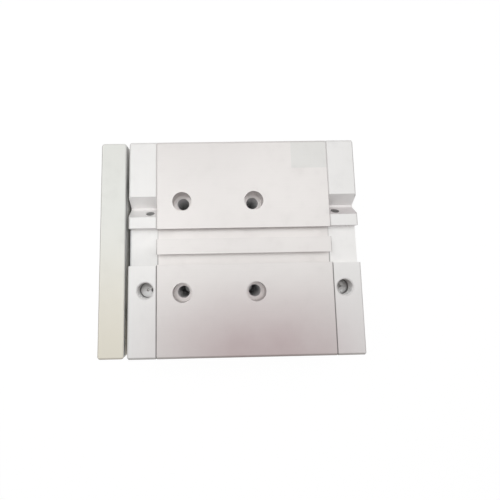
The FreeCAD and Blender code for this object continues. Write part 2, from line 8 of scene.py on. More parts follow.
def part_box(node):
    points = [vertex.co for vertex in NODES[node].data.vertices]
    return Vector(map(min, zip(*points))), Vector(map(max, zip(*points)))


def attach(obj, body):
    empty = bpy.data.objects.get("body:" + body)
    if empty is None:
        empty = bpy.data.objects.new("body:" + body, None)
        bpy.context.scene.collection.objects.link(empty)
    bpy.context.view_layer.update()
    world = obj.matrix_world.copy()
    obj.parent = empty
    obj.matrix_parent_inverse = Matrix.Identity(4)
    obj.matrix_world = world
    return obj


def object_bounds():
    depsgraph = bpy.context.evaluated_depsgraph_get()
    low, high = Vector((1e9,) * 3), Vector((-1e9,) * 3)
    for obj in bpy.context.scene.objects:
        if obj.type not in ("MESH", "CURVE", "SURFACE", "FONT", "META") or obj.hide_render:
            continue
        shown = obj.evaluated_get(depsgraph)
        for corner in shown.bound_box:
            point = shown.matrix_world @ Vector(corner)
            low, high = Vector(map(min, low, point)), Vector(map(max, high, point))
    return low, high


bl_info = {
    "name": "Guided pneumatic cylinder finishes",
    "version": (1, 0, 0),
    "blender": (4, 5, 0),
    "location": "View3D > Sidebar > Cylinder",
    "description": "Threads, finishes and a photographer's table for a guided pneumatic cylinder",
    "category": "Object",
}

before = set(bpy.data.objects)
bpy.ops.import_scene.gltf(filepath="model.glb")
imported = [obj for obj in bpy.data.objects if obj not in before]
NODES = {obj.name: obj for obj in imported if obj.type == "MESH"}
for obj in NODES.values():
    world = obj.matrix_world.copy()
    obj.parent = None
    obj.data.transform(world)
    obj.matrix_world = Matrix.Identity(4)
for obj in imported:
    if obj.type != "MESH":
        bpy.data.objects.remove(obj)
CAD_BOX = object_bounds()
MM = 0.001
HOUSING_LOW, HOUSING_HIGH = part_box("housing")
YOKE_LOW, YOKE_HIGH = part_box("yoke_plate")
REAR_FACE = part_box("end_cap")[0].x
FRONT_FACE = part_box("bearing_cap")[1].x
TOP = HOUSING_HIGH.z
BODY_OF = {"housing": "cylinder_body", "yoke_plate": "drive"}

# Supply ports, from the joints of the caps
PORT_FROM_JOINT = 6.0 * MM
PORT_Y = 23.6 * MM
PORT_RADIUS = 4.285 * MM
PORT_DEPTH = 8.0 * MM
PORT_CHAMFER = 0.565 * MM
PORT_RELIEF = 1.4 * MM
PORT_REACH = 5.0 * MM

# Threaded holes of the yoke plate
YOKE_INNER_Y = 20.0 * MM
YOKE_OUTER_Y = 50.0 * MM
YOKE_RISE = 17.0 * MM
YOKE_CENTRING = 2.1 * MM
YOKE_THREAD_RADIUS = 2.5 * MM

# Mounting holes of the housing
HOLE_X = 20.0 * MM
HOLE_Y = 25.0 * MM
HOLE_RADIUS = 3.4 * MM
CENTRING_DEPTH = 2.6 * MM
COUNTERBORE_DEPTH = 8.2 * MM

# Sensor slots, and the caps' notches with their oblique screw holes
SLOT_REACH = 10.6 * MM
SLOT_LIP = 2.0 * MM
NOTCH_OUTER_Y = -27.9 * MM
NOTCH_FLOOR_Y = (-22.8 * MM, -21.5 * MM)
NOTCH_INNER_Y = -16.4 * MM
NEEDLE_FROM_JOINT = 4.0 * MM
NEEDLE_MOUTH = (-18.95 * MM, 50.8 * MM)
NEEDLE_OUT = (-0.782, 0.623)
NEEDLE_RADIUS = 2.3 * MM

# Shape of a thread
THREAD_STEPS = 40
THREAD_HALF_WIDTH = 0.44
THREAD_ROOT = 1.004
THREAD_WELD = 0.0005 * MM
HOLE_EDGE = 0.2 * MM
FOUR_CORNERS = ((1, 1), (1, -1), (-1, 1), (-1, -1))

# Marks on the finishes
WIPED_LOW = (-62.2 * MM, -59.0 * MM)
WIPED_HIGH = (-41.5 * MM, -43.0 * MM)
FACING_FEED = 0.6 * MM
BUMP_ANODISED = 0.010 * MM
BUMP_CHROME = 0.0012 * MM
BUMP_METAL = 0.006 * MM
BUMP_MOULDED = 0.012 * MM
BUMP_PORES = 0.02 * MM
# Joint dirt, also used as painted shade in the ports and the oblique holes
DIRT_AND_SHADE = (0.13, 0.12, 0.12)
# Bluish painted shade on the yoke plate's face towards the gap
GAP_FACE_SHADE = (0.20, 0.23, 0.27)
DUST = (0.30, 0.29, 0.27)
ZINC_BLUE = (0.55, 0.60, 0.68)
BARE_METAL = (0.89, 0.88, 0.89)
# Painted light: bare walls lighter deep down the mounting holes
BARE_METAL_DEEP_PAINTED_LIGHT = (1.0, 1.0, 1.0)
BARE_METAL_LIGHT_FADE = (8.0 * MM, 34.0 * MM)
# Painted light on the port walls across from the needle side
PORT_PAINTED_LIGHT = (0.98, 0.97, 0.97)
JOINT_DIRT_AND_SHADE_WIDTH = (0.10 * MM, 0.40 * MM)
# Reach of the painted shade and pink reflection on the port side
PORT_SIDE_SHADE_BACK = 8.0 * MM
PORT_SIDE_SHADE_SPREAD = (5.0 * MM, 80.0 * MM)
PORT_SIDE_SHADE_START_Y = 10.0 * MM
PORT_SIDE_SHADE_DROP = 20.0 * MM

# Tints that multiply a finish where it is marked: the wiped patch and the faced rod ends are the
# things' own tone, the notch floor is only darker, and the rest are painted light and painted shade
PORT_SIDE_SHADE_TINT = (0.735, 0.64, 0.655)
WIPED_TINT = (0.92, 0.945, 0.94)
SLOT_PAINTED_LIGHT = (1.06, 1.06, 1.06)
LIP_PAINTED_SHADE = (0.72, 0.72, 0.71)
RECESS_PAINTED_SHADE = (0.86, 0.86, 0.86)
RECESS_END_PAINTED_SHADE = (0.75, 0.76, 0.78)
FRONT_SLOPE_PAINTED_LIGHT = (1.12, 1.12, 1.12)
REAR_SLOPE_PAINTED_SHADE = (0.87, 0.84, 0.85)
NOTCH_FLOOR_TINT = (0.90, 0.88, 0.88)
BODY_EDGE_PAINTED_SHADE = (0.62, 0.62, 0.60)
YOKE_EDGE_PAINTED_SHADE = (0.66, 0.64, 0.63)
PORT_PAINTED_SHADE = (0.62, 0.61, 0.60)
FACED_TINT = (0.66, 0.65, 0.65)

# Sockets of a colour Mix node
MIX_AMOUNT, MIX_FIRST, MIX_SECOND, MIX_RESULT = 0, 6, 7, 2

# Table, lamps and camera
TABLE_DROP = 0.05 * MM
TABLE_PAPER = ((0.80, 0.80, 0.80), (0.84, 0.84, 0.84))
TABLE_GLOW = 1.06
# Table glow under the object: a painted shadow
GLOW_IN_PAINTED_SHADOW = 0.09
GLOW_BESIDE = 0.81
WHITE = (1.0, 1.0, 1.0, 1.0)
LAMPS = (
    ("side", (-0.2, -0.15, 0.6), (0.4, 0.4)),
    ("back", (0.2, -0.3, 0.5), (0.4, 0.4)),
    ("near", (0.15, -0.05, 0.4), (0.2, 0.3)),
)
FRAME_WIDTH = 36.0
CLIP_START = 5.0 * MM


class CylinderSizes(bpy.types.PropertyGroup):
    """Sizes of the parts that are added to the solids."""
    port_pitch: bpy.props.FloatProperty(
        name="Port thread pitch", description="Distance between two turns of a port's thread",
        default=0.907 * MM, unit="LENGTH")
    yoke_pitch: bpy.props.FloatProperty(
        name="Yoke thread pitch", description="Distance between two turns in a hole of the yoke plate",
        default=1.0 * MM, unit="LENGTH")
    body_pitch: bpy.props.FloatProperty(
        name="Mounting thread pitch", description="Distance between two turns in a mounting hole",
        default=1.25 * MM, unit="LENGTH")
    thread_share: bpy.props.FloatProperty(
        name="Thread height share", description="Height of a crest over its hole's wall, in pitches",
        default=0.2)
    body_thread_length: bpy.props.FloatProperty(
        name="Mounting thread length", description="Threaded length at a mounting hole's lower end",
        default=16.0 * MM, unit="LENGTH")


class CylinderColours(bpy.types.PropertyGroup):
    """Colours of the finishes."""
    housing: bpy.props.FloatVectorProperty(
        name="Housing", description="Anodised skin of the extruded housing", subtype="COLOR",
        size=3, min=0, max=1, default=(0.79, 0.755, 0.745))
    cap: bpy.props.FloatVectorProperty(
        name="Caps", description="Anodised skin of the two machined caps", subtype="COLOR",
        size=3, min=0, max=1, default=(0.895, 0.88, 0.875))
    yoke: bpy.props.FloatVectorProperty(
        name="Yoke plate", description="Anodised skin of the yoke plate", subtype="COLOR",
        size=3, min=0, max=1, default=(0.77, 0.77, 0.74))
    yoke_aged: bpy.props.FloatVectorProperty(
        name="Yoke plate, aged", description="Yellower skin of the yoke plate's port side",
        subtype="COLOR", size=3, min=0, max=1, default=(0.84, 0.80, 0.70))
    chrome: bpy.props.FloatVectorProperty(
        name="Rods", description="Hard chrome of the rods", subtype="COLOR",
        size=3, min=0, max=1, default=(0.74, 0.75, 0.77))
    zinc: bpy.props.FloatVectorProperty(
        name="Screws", description="Zinc plating of screws and plugs", subtype="COLOR",
        size=3, min=0, max=1, default=(0.62, 0.62, 0.61))
    rubber: bpy.props.FloatVectorProperty(
        name="Seals", description="Rubber of seals and rings", subtype="COLOR",
        size=3, min=0, max=1, default=(0.028, 0.028, 0.03))
    bronze: bpy.props.FloatVectorProperty(
        name="Bushes", description="Sintered bronze of the bushes", subtype="COLOR",
        size=3, min=0, max=1, default=(0.50, 0.36, 0.19))
    turned: bpy.props.FloatVectorProperty(
        name="Piston", description="Turned aluminium of the piston and its cushion parts",
        subtype="COLOR", size=3, min=0, max=1, default=(0.72, 0.72, 0.73))
    oxide: bpy.props.FloatVectorProperty(
        name="Cushioning screws", description="Black oxide of the cushioning screws",
        subtype="COLOR", size=3, min=0, max=1, default=(0.03, 0.03, 0.033))
    magnet: bpy.props.FloatVectorProperty(
        name="Magnet", description="Bonded magnet of the piston", subtype="COLOR",
        size=3, min=0, max=1, default=(0.09, 0.08, 0.075))
    slide_ring: bpy.props.FloatVectorProperty(
        name="Guide ring", description="Plastic of the piston's guide ring", subtype="COLOR",
        size=3, min=0, max=1, default=(0.10, 0.17, 0.13))


class CylinderStage(bpy.types.PropertyGroup):
    """Camera, lamps and table."""
    camera_place: bpy.props.FloatVectorProperty(
        name="Camera place", description="Where the camera stands", subtype="XYZ", unit="LENGTH",
        size=3, default=(1.73 * MM, 12.35 * MM, 221.45 * MM))
    camera_aim: bpy.props.FloatVectorProperty(
        name="Camera aim", description="Point on the top face that the lens points at", subtype="XYZ",
        unit="LENGTH", size=3, default=(-0.66 * MM, -5.64 * MM, 54.0 * MM))
    camera_roll: bpy.props.FloatProperty(
        name="Camera roll", description="Turn of the camera about its own axis", subtype="ANGLE",
        default=math.radians(1.09))
    lens: bpy.props.FloatProperty(
        name="Lens", description="Focal length for a frame 36 mm wide", default=22.1)
    shift_x: bpy.props.FloatProperty(
        name="Shift across", description="Share of the frame's width that the view moves across",
        default=0.0606)
    shift_y: bpy.props.FloatProperty(
        name="Shift up", description="Share of the frame's width that the view moves up",
        default=-0.0291)
    floor_size: bpy.props.FloatProperty(
        name="Table size", description="Width of the table top", default=6.0, unit="LENGTH")
    side_power: bpy.props.FloatProperty(
        name="Side lamp", description="Power of the lamp beside the rear end", default=0.805)
    back_power: bpy.props.FloatProperty(
        name="Back lamp", description="Power of the lamp behind the needle side", default=0.267)
    near_power: bpy.props.FloatProperty(
        name="Near lamp", description="Power of the near lamp over the front end", default=0.34)
    lamp_colour: bpy.props.FloatVectorProperty(
        name="Lamp colour", description="Colour of the lamps", subtype="COLOR",
        size=3, min=0, max=1, default=(0.972, 1.0, 0.983))
    room_strength: bpy.props.FloatProperty(
        name="Room light", description="Strength of the light from all round", default=0.30)
    room_colour: bpy.props.FloatVectorProperty(
        name="Room colour", description="Colour of the light from all round", subtype="COLOR",
        size=3, min=0, max=1, default=(1.0, 0.96, 0.955))


def give(tree, socket, value):
    """Put a number, a colour or a link into a socket."""
    if isinstance(value, Number):
        value = value.socket
    if isinstance(value, bpy.types.NodeSocket):
        tree.links.new(value, socket)
    else:
        socket.default_value = value


def add_node(tree, kind, settings=None, inputs=None):
    """Any node: its settings first, then the values or links of its sockets."""
    node = tree.nodes.new(kind)
    for key, value in (settings or {}).items():
        setattr(node, key, value)
    for key, value in (inputs or {}).items():
        give(tree, node.inputs[key], value)
    return node


class Number:
    """A number socket, so that shader maths is written as an expression."""

    def __init__(self, tree, socket):
        self.tree = tree
        self.socket = socket

    def maths(self, operation, *others):
        node = add_node(self.tree, "ShaderNodeMath", {"operation": operation},
                        dict(enumerate((self, *others))))
        return Number(self.tree, node.outputs[0])

    def __add__(self, other):
        return self.maths("ADD", other)

    __radd__ = __add__

    def __mul__(self, other):
        return self.maths("MULTIPLY", other)

    __rmul__ = __mul__

    def __sub__(self, other):
        return self.maths("SUBTRACT", other)

    def __rsub__(self, other):
        return self * -1 + other

    def __truediv__(self, other):
        return self.maths("DIVIDE", other)

    def __abs__(self):
        return self.maths("ABSOLUTE")

    def ramp(self, low, high):
        """0 below low, 1 above high, smooth between."""
        node = add_node(self.tree, "ShaderNodeMapRange", {"interpolation_type": "SMOOTHSTEP"},
                        {"Value": self, "From Min": low, "From Max": high})
        return Number(self.tree, node.outputs["Result"])

    def near(self, place, inner, outer):
        """1 within inner of a place, 0 past outer."""
        return 1 - abs(self - place).ramp(inner, outer)

    def power(self, other):
        return self.maths("POWER", other)

    def least(self, other):
        return self.maths("MINIMUM", other)

    def most(self, other):
        return self.maths("MAXIMUM", other)


class Finish:
    """A material under construction."""

    def __init__(self, name):
        self.material = bpy.data.materials.new(name)
        self.material.use_nodes = True
        self.tree = self.material.node_tree
        self.shader = self.tree.nodes["Principled BSDF"]
        self.place = self.add("ShaderNodeTexCoord").outputs["Object"]
        parts = self.add("ShaderNodeSeparateXYZ", inputs={"Vector": self.place})
        self.x, self.y, self.z = (Number(self.tree, parts.outputs[axis]) for axis in "XYZ")

    def add(self, kind, settings=None, inputs=None):
        return add_node(self.tree, kind, settings, inputs)

    def below_top(self, low, high):
        """0 on the top face, 1 once this far below it."""
        return (TOP - self.z).ramp(low, high)

    def stretched(self, scale):
        """Object coordinates scaled apart along the axes."""
        return self.add("ShaderNodeMapping", inputs={"Vector": self.place, "Scale": scale}).outputs[0]

    def noise(self, scale, detail=2.0, roughness=0.5, place=None):
        """Noise from 0 to 1 with so many cells a metre."""
        node = self.add("ShaderNodeTexNoise", inputs={
            "Vector": place or self.place, "Scale": scale, "Detail": detail, "Roughness": roughness})
        return Number(self.tree, node.outputs[0])

    def speckles(self, scale):
        """Distance to the nearest of so many random points a metre."""
        node = self.add("ShaderNodeTexVoronoi", inputs={"Vector": self.place, "Scale": scale})
        return Number(self.tree, node.outputs["Distance"])

    def mixed(self, amount, first, second):
        """Colour between two colours."""
        return self.blended("MIX", amount, first, second)

    def times(self, colour, amount, factor):
        """Colour multiplied by a factor where amount is 1."""
        return self.blended("MULTIPLY", amount, colour, factor)

    def blended(self, way, amount, *colours):
        """Two colours, each a tuple or a socket, mixed in one way."""
        first, second = ((*colour, 1.0) if isinstance(colour, tuple) else colour for colour in colours)
        node = self.add("ShaderNodeMix", {"data_type": "RGBA", "blend_type": way},
                        {MIX_AMOUNT: amount, MIX_FIRST: first, MIX_SECOND: second})
        return node.outputs[MIX_RESULT]

    def bumped(self, height, depth):
        """Normal of a surface with this height in parts of depth, in metres."""
        node = self.add("ShaderNodeBump", inputs={"Strength": 1.0, "Distance": depth, "Height": height})
        return node.outputs[0]

    def finish(self, **sockets):
        """The material, once these sockets of its shader are given."""
        for key, value in sockets.items():
            give(self.tree, self.shader.inputs[key.replace("_", " ")], value)
        return self.material


def tinted(colour, factor):
    """Colour times a factor, with no part over 1."""
    return tuple(min(1.0, part * factor) for part in colour)


def anodised(name, colour, lines, shade, roughness):
    """Sockets of clear-anodised aluminium, with faint tool or die lines scaled along each axis."""
    finish = Finish(name)
    clouds = finish.noise(45.0, 3.0)
    streaks = finish.noise(1.0, 4.0, 0.6, finish.stretched(lines))
    grain = finish.noise(9000.0, 2.0)
    pits = 1 - finish.speckles(700.0).ramp(0.02, 0.10)
    smudge = finish.noise(110.0, 4.0, 0.7).ramp(0.48, 0.72)
    tone = clouds * 0.5 + streaks * 0.35 + grain * 0.15
    base = finish.mixed(tone, tinted(colour, shade), tinted(colour, 1.04))
    base = finish.mixed(pits * 0.25, base, tinted(colour, 0.62))
    base = finish.mixed(smudge * 0.10, base, tinted(colour, 0.84))
    height = grain * 0.6 + streaks * 0.4 - pits * 0.8
    rough = streaks * 0.10 + smudge * 0.08 + roughness - 0.08
    return finish, base, rough, finish.bumped(height, BUMP_ANODISED)


def body_anodised(name, colour, lines, shade, metal, roughness):
    """Anodised body metal with bare holes, painted light and painted shade in slots, notches, ports,
    holes and along edges, a wiped patch, and dirt with painted shade in the joints.
    """
    finish, base, rough, normal = anodised(name, colour, lines, shade, roughness)
    for marks in (in_slots, in_notches, wiped_patch, port_side_shade, edge_shade, in_ports):
        base = marks(finish, base)
    uneven = finish.noise(130.0, 3.0) * 0.3 + 0.7
    # Dark joints of the caps: dirt, with painted shade that deepens towards the port side.
    front = finish.x.near(HOUSING_HIGH.x, *JOINT_DIRT_AND_SHADE_WIDTH)
    rear = finish.x.near(HOUSING_LOW.x, *JOINT_DIRT_AND_SHADE_WIDTH)
    dirt_and_shade = front.most(rear) * uneven * (finish.y.ramp(-20 * MM, 20 * MM) * 0.75 + 0.15)
    # Painted shade in the ports and in the oblique holes is laid on with the joint dirt.
    dirt_and_shade = dirt_and_shade.most(port_shade(finish) * uneven).most(needle_hole_shade(finish) * uneven)
    base = finish.mixed(dirt_and_shade, base, DIRT_AND_SHADE)
    bare = bare_holes(finish)
    # Painted light: the bare walls grow lighter deeper down the holes.
    painted_light_depth = finish.below_top(*BARE_METAL_LIGHT_FADE)
    base = finish.mixed(bare, base, finish.mixed(painted_light_depth, BARE_METAL, BARE_METAL_DEEP_PAINTED_LIGHT))
    return finish.finish(Base_Color=base, Metallic=(1 - dirt_and_shade) * (1 - bare) * metal,
                         Roughness=rough + dirt_and_shade * 0.3 + bare * 0.2, Normal=normal)


def from_axis(finish, x, y):
    """Distance from an upright axis."""
    return ((finish.x - x).power(2) + (finish.y - y).power(2)).power(0.5)


def in_slots(finish, base):
    """Painted light on the floors of the sensor slots, with painted shade on their lips and in the
    front cap's recess, darker towards the port side and at the recess's outer end.
    """
    slots = 1 - abs(finish.y).ramp(SLOT_REACH - 0.4 * MM, SLOT_REACH)
    slots = slots * finish.below_top(0.3 * MM, 1.0 * MM)
    base = finish.times(base, slots, SLOT_PAINTED_LIGHT)
    lips = slots * (1 - finish.below_top(SLOT_LIP - 0.3 * MM, SLOT_LIP + 0.2 * MM))
    base = finish.times(base, lips, LIP_PAINTED_SHADE)
    front = finish.x.ramp(HOUSING_HIGH.x, HOUSING_HIGH.x + 0.3 * MM)
    base = finish.times(base, slots * front * finish.y.ramp(-4 * MM, SLOT_REACH), RECESS_PAINTED_SHADE)
    end = finish.x.ramp(FRONT_FACE - 0.9 * MM, FRONT_FACE - 0.5 * MM)
    return finish.times(base, slots * end, RECESS_END_PAINTED_SHADE)


def in_notches(finish, base):
    """Skin of the milled notches: darker at the floor, with painted light on the front cap's outer
    slope and painted shade on the end cap's inner slope.
    """
    edge = 0.2 * MM
    start, end = NOTCH_FLOOR_Y
    low = finish.below_top(0.1 * MM, 0.4 * MM)
    outer = finish.y.ramp(NOTCH_OUTER_Y - edge, NOTCH_OUTER_Y)
    outer = outer * (1 - finish.y.ramp(start - edge, start))
    floor = (finish.y - start).least(end - finish.y).ramp(-0.3 * MM, 0.1 * MM)
    inner = finish.y.ramp(end, end + edge)
    inner = inner * (1 - finish.y.ramp(NOTCH_INNER_Y, NOTCH_INNER_Y + edge))
    front = finish.x.ramp(HOUSING_HIGH.x, HOUSING_HIGH.x + edge)
    rear = 1 - finish.x.ramp(HOUSING_LOW.x - edge, HOUSING_LOW.x)
    base = finish.times(base, outer * low * front, FRONT_SLOPE_PAINTED_LIGHT)
    base = finish.times(base, floor * low, NOTCH_FLOOR_TINT)
    return finish.times(base, inner * low * rear, REAR_SLOPE_PAINTED_SHADE)


def wiped_patch(finish, base):
    """Patch near the rear end of the housing's top, wiped clean."""
    along = (finish.x - WIPED_LOW[0]).least(WIPED_HIGH[0] - finish.x)
    across = (finish.y - WIPED_LOW[1]).least(WIPED_HIGH[1] - finish.y)
    wiped = along.least(across).ramp(0, 0.6 * MM) * finish.z.ramp(TOP - 1.0 * MM, TOP - 0.5 * MM)
    return finish.times(base, wiped, WIPED_TINT)


def port_side_shade(finish, base):
    """Painted shade with a pink reflected cast on the port side of the housing, fading down its side
    face.
    """
    middle = (HOUSING_LOW + HOUSING_HIGH) / 2
    # Here film means painted shade with a painted pink reflection.
    film = finish.x.near(middle.x - PORT_SIDE_SHADE_BACK, *PORT_SIDE_SHADE_SPREAD)
    film = film * finish.y.ramp(PORT_SIDE_SHADE_START_Y, HOUSING_HIGH.y) * (finish.noise(60.0, 3.0) * 0.5 + 0.75)
    film = film * (finish.z.ramp(TOP - PORT_SIDE_SHADE_DROP, TOP) * 0.75 + 0.25)
    return finish.times(base, film, PORT_SIDE_SHADE_TINT)


def edge_shade(finish, base):
    """Painted shade along the upper edges of the port side and of the rear end."""
    port_side = finish.y.ramp(HOUSING_HIGH.y - 1.7 * MM, HOUSING_HIGH.y - 0.8 * MM)
    rear_end = 1 - finish.x.ramp(REAR_FACE + 0.5 * MM, REAR_FACE + 0.8 * MM)
    upper = finish.z.ramp(TOP - 2.0 * MM, TOP - 1.2 * MM)
    return finish.times(base, port_side.most(rear_end * 0.7) * upper, BODY_EDGE_PAINTED_SHADE)


def from_ports(finish):
    """Distances from the axes of the front and the rear port."""
    return (from_axis(finish, HOUSING_HIGH.x + PORT_FROM_JOINT, PORT_Y),
            from_axis(finish, HOUSING_LOW.x - PORT_FROM_JOINT, PORT_Y))


def in_ports(finish, base):
    """Walls of the ports: painted shade on the needle side and painted light across from it."""
    front, rear = from_ports(finish)
    side = (finish.y - PORT_Y) / PORT_RADIUS
    inside = 1 - front.least(rear).ramp(PORT_REACH - 0.1 * MM, PORT_REACH + 0.1 * MM)
    inside = inside * finish.below_top(0.3 * MM, 1.0 * MM)
    base = finish.times(base, inside * (1 - side.ramp(-0.8, 0.3)), PORT_PAINTED_SHADE)
    return finish.mixed(inside * side.ramp(-0.1, 0.6) * 0.9, base, PORT_PAINTED_LIGHT)


def port_shade(finish):
    """Painted shade round the floor of each port, and blotchy painted shade deep in the rear port."""
    low = finish.below_top(PORT_DEPTH - 1.6 * MM, PORT_DEPTH - 1.3 * MM)
    front, rear = from_ports(finish)
    near = front.least(rear)
    rim = near.ramp(PORT_RADIUS - 0.6 * MM, PORT_RADIUS - 0.1 * MM)
    rim = rim * (1 - near.ramp(PORT_REACH, PORT_REACH + 0.5 * MM)) * low
    rear_port_shade = 1 - rear.ramp(PORT_REACH, PORT_REACH + 0.5 * MM)
    rear_port_shade = rear_port_shade * finish.below_top(4.5 * MM, 6.2 * MM)
    rear_port_shade = rear_port_shade * finish.noise(900.0, 4.0).ramp(0.35, 0.60) * 0.5
    return rim.most(rear_port_shade)


def needle_hole_shade(finish):
    """Painted shade in the oblique holes of the cushioning screws, a little lighter at the front cap.
    """
    y = finish.y - NEEDLE_MOUTH[0]
    z = finish.z - NEEDLE_MOUTH[1]
    outward = y * NEEDLE_OUT[0] + z * NEEDLE_OUT[1]
    across = y * NEEDLE_OUT[1] - z * NEEDLE_OUT[0]
    front = abs(finish.x - (HOUSING_HIGH.x + NEEDLE_FROM_JOINT))
    rear = abs(finish.x - (HOUSING_LOW.x - NEEDLE_FROM_JOINT))
    away = (front.least(rear).power(2) + across.power(2)).power(0.5)
    inside = 1 - away.ramp(NEEDLE_RADIUS + 0.1 * MM, NEEDLE_RADIUS + 0.3 * MM)
    needle_shade_share = 0.75 - finish.x.ramp(0, HOUSING_HIGH.x) * 0.15
    return inside * needle_shade_share * (1 - outward.ramp(-0.6 * MM, -0.2 * MM))


def bare_holes(finish):
    """Walls of the mounting holes, drilled after the body was anodised."""
    across = (abs(finish.x) - HOLE_X).power(2) + (abs(finish.y) - HOLE_Y).power(2)
    inside = 1 - across.power(0.5).ramp(HOLE_RADIUS + 0.1 * MM, HOLE_RADIUS + 0.3 * MM)
    return inside * finish.below_top(COUNTERBORE_DEPTH - 0.1 * MM, COUNTERBORE_DEPTH + 0.2 * MM)


def yoke_anodised(name, colour, aged, lines):
    """Anodised yoke plate, yellower towards the port side, with painted shade along its outer edges and
    on its face towards the gap.
    """
    finish, base, rough, normal = anodised(name, colour, lines, 0.94, 0.5)
    tint = finish.y.ramp(YOKE_LOW.y * 0.4, YOKE_HIGH.y)
    base = finish.mixed(tint, base, aged)
    # Painted shade along the plate's outer edge and its port-side edge, near the top.
    yoke_edge_shade = finish.x.ramp(YOKE_HIGH.x - 0.6 * MM, YOKE_HIGH.x - 0.4 * MM)
    yoke_edge_shade = yoke_edge_shade.most(finish.y.ramp(YOKE_HIGH.y - 1.2 * MM, YOKE_HIGH.y - 0.6 * MM))
    yoke_edge_shade = yoke_edge_shade * finish.z.ramp(YOKE_HIGH.z - 2.0 * MM, YOKE_HIGH.z - 1.2 * MM)
    base = finish.times(base, yoke_edge_shade, YOKE_EDGE_PAINTED_SHADE)
    # Painted shade on the plate's face towards the gap, strongest near its top and towards the port
    # side.
    gap_face_shade = 1 - (finish.x - YOKE_LOW.x).ramp(0.02 * MM, 0.15 * MM)
    gap_face_shade = gap_face_shade * (finish.z.ramp(YOKE_HIGH.z - 4 * MM, YOKE_HIGH.z) * 0.7 + 0.1)
    gap_face_shade = gap_face_shade * (finish.y.ramp(YOKE_LOW.y * 1.2, YOKE_HIGH.y) * 0.75 + 0.4)
    base = finish.mixed(gap_face_shade, base, GAP_FACE_SHADE)
    return finish.finish(Base_Color=base, Metallic=0.2, Roughness=rough - gap_face_shade * 0.1, Normal=normal)


def chromed(name, colour):
    """Hard-chromed steel with very fine rings, a few rub marks and duller faced rear ends."""
    finish = Finish(name)
    rings = finish.noise(1.0, 3.0, 0.6, finish.stretched((14000.0, 60.0, 60.0)))
    rubs = finish.noise(1.0, 2.0, 0.5, finish.stretched((12.0, 3500.0, 3500.0))).ramp(0.66, 0.74)
    film = finish.noise(60.0, 3.0)
    base = finish.mixed(film, tinted(colour, 0.94), colour)
    low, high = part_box("guide_rod_left")
    middle = (low + high) / 2
    away = ((abs(finish.y) - abs(middle.y)).power(2) + (finish.z - middle.z).power(2)).power(0.5)
    faced = 1 - (finish.x - low.x).ramp(0.02 * MM, 0.10 * MM)
    marks = (away * (math.tau / FACING_FEED)).maths("SINE") * 0.5 + 0.5
    base = finish.times(base, faced * (marks * 0.3 + 0.7), FACED_TINT)
    rough = rings * 0.08 + rubs * 0.10 + film * 0.05 + faced * 0.27 + 0.05
    height = rings + rubs * -0.5 + faced * marks * 3
    return finish.finish(Base_Color=base, Metallic=1.0, Roughness=rough,
                         Normal=finish.bumped(height, BUMP_CHROME))


def plated(name, colour):
    """Zinc-plated steel: satin, slightly cloudy, with a bluish and a straw-coloured cast."""
    finish = Finish(name)
    clouds = finish.noise(300.0, 3.0)
    grain = finish.noise(7000.0, 2.0)
    straw = (colour[0] * 1.04, colour[1] * 1.02, colour[2] * 0.94)
    base = finish.mixed(clouds, tinted(colour, 0.86), straw)
    base = finish.mixed(grain.ramp(0.55, 0.8) * 0.25, base, ZINC_BLUE)
    return finish.finish(Base_Color=base, Metallic=1.0, Roughness=clouds * 0.15 + 0.26,
                         Normal=finish.bumped(grain, BUMP_METAL))


def turned_metal(name, colour, roughness, metal):
    """Turned metal with fine feed marks along the stroke."""
    finish = Finish(name)
    feed = finish.noise(1.0, 2.0, 0.5, finish.stretched((9000.0, 80.0, 80.0)))
    film = finish.noise(140.0, 3.0)
    base = finish.mixed(film, tinted(colour, 0.9), colour)
    return finish.finish(Base_Color=base, Metallic=metal, Roughness=feed * 0.15 + roughness,
                         Normal=finish.bumped(feed, BUMP_METAL))


def moulded(name, colour, roughness):
    """Rubber or plastic from a mould, with a fine texture, a bloom and a little dust."""
    finish = Finish(name)
    texture = finish.noise(5200.0, 3.0)
    bloom = finish.noise(260.0, 3.0).ramp(0.4, 0.75)
    dust = 1 - finish.speckles(1500.0).ramp(0.03, 0.12)
    base = finish.mixed(bloom * 0.5, colour, tinted(colour, 1.9))
    base = finish.mixed(dust * 0.3, base, DUST)
    return finish.finish(Base_Color=base, Roughness=bloom * 0.12 + roughness,
                         Normal=finish.bumped(texture, BUMP_MOULDED))


def sintered(name, colour):
    """Sintered bronze, oily and finely porous."""
    finish = Finish(name)
    pores = 1 - finish.speckles(4200.0).ramp(0.05, 0.28)
    film = finish.noise(160.0, 3.0)
    base = finish.mixed(film, tinted(colour, 0.8), colour)
    base = finish.mixed(pores * 0.8, base, tinted(colour, 0.3))
    return finish.finish(Base_Color=base, Metallic=0.9, Roughness=film * 0.2 + 0.32,
                         Normal=finish.bumped(pores * -1, BUMP_PORES))


def dress(names, material):
    """Give CAD nodes a finish."""
    for name in names:
        slots = NODES[name].material_slots
        for slot in slots:
            slot.material = material
        if not slots:
            NODES[name].data.materials.append(material)


def nodes_like(*words, leave=()):
    """Names of the nodes that hold one of these words and none of those to leave."""
    return sorted(name for name in NODES if any(word in name for word in words)
                  and not any(word in name for word in leave))


class DressBody(bpy.types.Operator):
    """Anodise the housing, the caps and the yoke plate"""
    bl_idname = "cylinder.dress_body"
    bl_label = "Anodise the body"

    def execute(self, context):
        colours = context.scene.cylinder_colours
        dress(["housing"], body_anodised(
            "housing_anodised", tuple(colours.housing), lines=(14.0, 1500.0, 1500.0), shade=0.93,
            metal=0.22, roughness=0.42))
        dress(["bearing_cap", "end_cap"], body_anodised(
            "cap_anodised", tuple(colours.cap), lines=(1100.0, 60.0, 60.0), shade=0.95,
            metal=0.17, roughness=0.5))
        dress(["yoke_plate"], yoke_anodised(
            "yoke_anodised", tuple(colours.yoke), tuple(colours.yoke_aged), lines=(300.0, 40.0, 900.0)))
        return {"FINISHED"}


